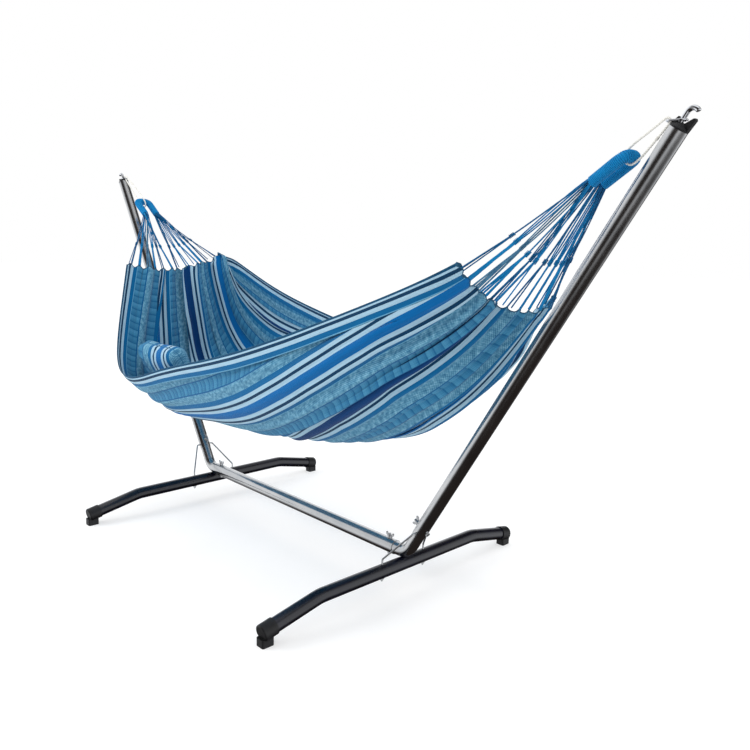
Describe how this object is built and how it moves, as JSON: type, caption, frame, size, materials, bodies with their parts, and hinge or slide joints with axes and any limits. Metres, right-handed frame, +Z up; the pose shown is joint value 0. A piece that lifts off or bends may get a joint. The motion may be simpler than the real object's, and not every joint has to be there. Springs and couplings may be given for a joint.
{
  "type": "hammock on stand",
  "caption": "Striped cloth hammock hung by cords and wrapped loops between the leaning arms of a free-standing steel tube stand with arched feet, with a loose pillow.",
  "frame": {"origin": "on the floor under the middle of the stand", "axes": "+X along the base tube, +Y across it, +Z up"},
  "size_m": [2.8324, 1.128, 1.4172],
  "materials": {
    "steel_tube": "polished",
    "black_coat": "gloss",
    "black_plastic": "satin",
    "zinc_hardware": "satin",
    "chrome_hook": "polished",
    "pale_rope": "matte",
    "blue_cord": "matte",
    "striped_cloth": "matte"
  },
  "bodies": {
    "stand": {"base_tube": "steel_tube", "foot_tube_right": "black_coat", "elbow_tube_right": "steel_tube", "arm_tube_right": "steel_tube", "base_bolt_right": "zinc_hardware", "arm_bolt_right": "zinc_hardware", "foot_cap_right_front": "black_plastic", "stay_rod_right_front": "zinc_hardware", "foot_cap_right_back": "black_plastic", "stay_rod_right_back": "zinc_hardware", "hook_rod_right": "chrome_hook", "hook_plug_right": "zinc_hardware", "arm_crown_right": "black_plastic", "hanging_ring_right": "chrome_hook", "foot_tube_left": "black_coat", "elbow_tube_left": "steel_tube", "arm_tube_left": "steel_tube", "base_bolt_left": "zinc_hardware", "arm_bolt_left": "zinc_hardware", "foot_cap_left_front": "black_plastic", "stay_rod_left_front": "zinc_hardware", "foot_cap_left_back": "black_plastic", "stay_rod_left_back": "zinc_hardware", "hook_rod_left": "chrome_hook", "hook_plug_left": "zinc_hardware", "arm_crown_left": "black_plastic", "hanging_ring_left": "chrome_hook", "stay_washers": "zinc_hardware", "stay_nuts": "zinc_hardware"},
    "hammock": {"hanging_rope_right": "pale_rope", "end_loop_right": "blue_cord", "suspension_cords_right": "blue_cord", "hanging_rope_left": "pale_rope", "end_loop_left": "blue_cord", "suspension_cords_left": "blue_cord", "hammock_cloth": "striped_cloth"},
    "pillow": {"pillow": "striped_cloth"},
    "base_wing_nut_right": {"base_wing_nut_right": "zinc_hardware"},
    "arm_wing_nut_right": {"arm_wing_nut_right": "zinc_hardware"},
    "base_wing_nut_left": {"base_wing_nut_left": "zinc_hardware"},
    "arm_wing_nut_left": {"arm_wing_nut_left": "zinc_hardware"}
  },
  "joints": [
    {"name": "hammock_swing", "type": "hinge", "parent": "stand", "child": "hammock", "pos_m": [0, 0, 1.38883], "axis": [1, 0, 0], "range_deg": [-25, 25]},
    {"name": "pillow_lift", "type": "slide", "parent": "hammock", "child": "pillow", "axis": [0, 0, 1], "range_m": [0, 0.3]},
    {"name": "base_wing_nut_right_turn", "type": "hinge", "parent": "stand", "child": "base_wing_nut_right", "pos_m": [0.519, 0, 0.1493], "axis": [0, 0, 1], "continuous": true},
    {"name": "arm_wing_nut_right_turn", "type": "hinge", "parent": "stand", "child": "arm_wing_nut_right", "pos_m": [0.64345, 0, 0.2375], "axis": [-0.8504, 0, 0.5262], "continuous": true},
    {"name": "base_wing_nut_left_turn", "type": "hinge", "parent": "stand", "child": "base_wing_nut_left", "pos_m": [-0.519, 0, 0.1493], "axis": [0, 0, 1], "continuous": true},
    {"name": "arm_wing_nut_left_turn", "type": "hinge", "parent": "stand", "child": "arm_wing_nut_left", "pos_m": [-0.64345, 0, 0.2375], "axis": [0.8504, 0, 0.5262], "continuous": true}
  ]
}
